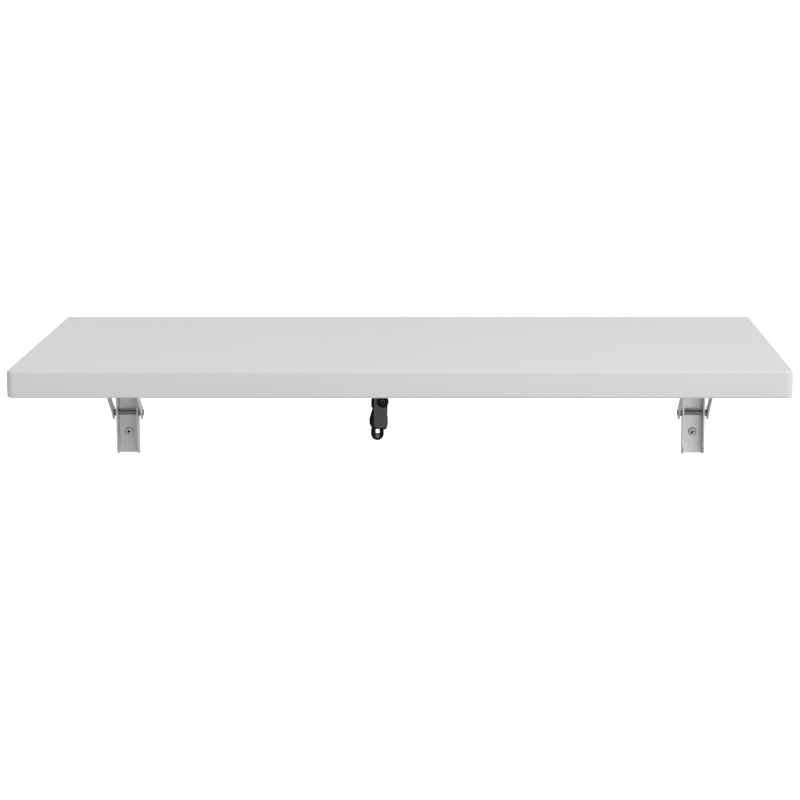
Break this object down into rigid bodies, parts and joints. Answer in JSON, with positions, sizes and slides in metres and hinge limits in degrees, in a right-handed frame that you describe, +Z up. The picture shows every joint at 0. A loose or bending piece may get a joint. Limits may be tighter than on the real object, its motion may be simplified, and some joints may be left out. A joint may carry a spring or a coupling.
{
  "type": "wall-mounted drop-leaf desk",
  "caption": "Wall-mounted fold-down desk: a flat white top on folding steel brackets that swings down against the wall, with a turn-catch.",
  "frame": {"origin": "centre of the rectangle of the four outer wall screws, on the wall plane", "axes": "+X to the right along the wall, +Y into the wall (the front faces -Y), +Z up"},
  "size_m": [0.8, 0.4452, 0.1626],
  "materials": {
    "board_white": "satin white foil",
    "bracket_steel": "satin zinc",
    "rivet_steel": "satin",
    "screw_steel": "bright",
    "dark_steel": "black zinc",
    "spring_steel": "oiled",
    "catch_plastic": "satin black",
    "catch_lever_plastic": "satin black"
  },
  "bodies": {
    "wall_side": {"left_wall_arm": "bracket_steel", "left_hinge_pin": "rivet_steel", "left_hinge_spacers": "rivet_steel", "left_strut_pin": "rivet_steel", "left_strut_spacers": "rivet_steel", "left_wall_screws": "screw_steel", "right_wall_arm": "bracket_steel", "right_hinge_pin": "rivet_steel", "right_hinge_spacers": "rivet_steel", "right_strut_pin": "rivet_steel", "right_strut_spacers": "rivet_steel", "right_wall_screws": "screw_steel", "catch_base": "catch_plastic", "catch_cap": "catch_plastic", "catch_pivot_screw": "dark_steel", "catch_base_screw": "rivet_steel"},
    "board": {"tabletop": "board_white", "left_board_arm": "bracket_steel", "left_release_pin": "rivet_steel", "left_release_spring": "spring_steel", "left_board_screws": "screw_steel", "right_board_arm": "bracket_steel", "right_release_pin": "rivet_steel", "right_release_spring": "spring_steel", "right_board_screws": "screw_steel", "catch_keeper": "catch_plastic", "keeper_screws": "screw_steel"},
    "left_strut": {"left_strut_outer_bar": "bracket_steel", "left_strut_inner_bar": "bracket_steel", "left_slide_pin": "rivet_steel"},
    "right_strut": {"right_strut_outer_bar": "bracket_steel", "right_strut_inner_bar": "bracket_steel", "right_slide_pin": "rivet_steel"},
    "left_release": {"left_release_lever": "bracket_steel"},
    "right_release": {"right_release_lever": "bracket_steel"},
    "catch": {"catch_lever": "catch_lever_plastic"}
  },
  "joints": [
    {"name": "board_fold", "type": "hinge", "parent": "wall_side", "child": "board", "pos_m": [0, -0.012, 0.051], "axis": [1, 0, 0], "range_deg": [0, 90]},
    {"name": "left_strut_swing", "type": "hinge", "parent": "wall_side", "child": "left_strut", "pos_m": [-0.333, -0.01, -0.016], "axis": [1, 0, 0], "range_deg": [0, 120]},
    {"name": "right_strut_swing", "type": "hinge", "parent": "wall_side", "child": "right_strut", "pos_m": [0.333, -0.01, -0.016], "axis": [1, 0, 0], "range_deg": [0, 120]},
    {"name": "left_release_squeeze", "type": "hinge", "parent": "board", "child": "left_release", "pos_m": [-0.333, -0.234, 0.061], "axis": [1, 0, 0], "range_deg": [-3, 0], "stiffness_Nm_per_rad": 0.4, "springref_deg": -3},
    {"name": "right_release_squeeze", "type": "hinge", "parent": "board", "child": "right_release", "pos_m": [0.333, -0.234, 0.061], "axis": [1, 0, 0], "range_deg": [-3, 0], "stiffness_Nm_per_rad": 0.4, "springref_deg": -3},
    {"name": "catch_turn", "type": "hinge", "parent": "wall_side", "child": "catch", "pos_m": [-0.0316, -0.008, -0.0023], "axis": [0, 1, 0], "range_deg": [0, 90]}
  ],
  "couplings": [
    {"joint": "left_strut_swing", "follows": "board_fold", "ratio": 1.3278},
    {"joint": "right_strut_swing", "follows": "board_fold", "ratio": 1.3278}
  ]
}
